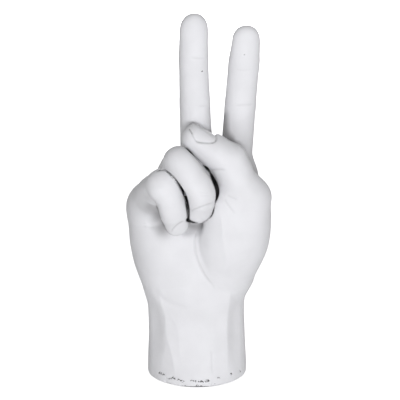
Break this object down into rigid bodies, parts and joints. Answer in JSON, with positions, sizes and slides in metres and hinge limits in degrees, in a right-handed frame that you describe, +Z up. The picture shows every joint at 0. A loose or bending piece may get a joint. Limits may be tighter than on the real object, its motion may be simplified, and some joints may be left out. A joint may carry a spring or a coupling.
{
  "type": "hand sculpture",
  "caption": "White cast hand standing on its wrist, palm forward, index and middle fingers raised in a V, ring and little fingers folded, thumb laid across; felted flat base.",
  "frame": {"origin": "middle of the felt's underside, on the surface that the sculpture stands on", "axes": "+Z up through the wrist and raised fingers, palm facing -Y, thumb on the +X side"},
  "size_m": [0.096, 0.0715, 0.243],
  "materials": {
    "casting": "matte white paint over cast plaster",
    "dowel_steel": "plain drawn rod",
    "ballast_mix": "rough poured cement and sand",
    "plug_board": "plain fibreboard",
    "base_felt": "dark grey felt"
  },
  "bodies": {
    "root": {"palm_shell": "casting", "index_finger": "casting", "middle_finger": "casting", "ring_finger": "casting", "little_finger": "casting", "thumb": "casting", "index_finger_dowel": "dowel_steel", "middle_finger_dowel": "dowel_steel", "ring_finger_dowel": "dowel_steel", "little_finger_dowel": "dowel_steel", "thumb_dowel": "dowel_steel", "ballast": "ballast_mix", "base_plug": "plug_board", "base_felt": "base_felt"}
  },
  "joints": []
}
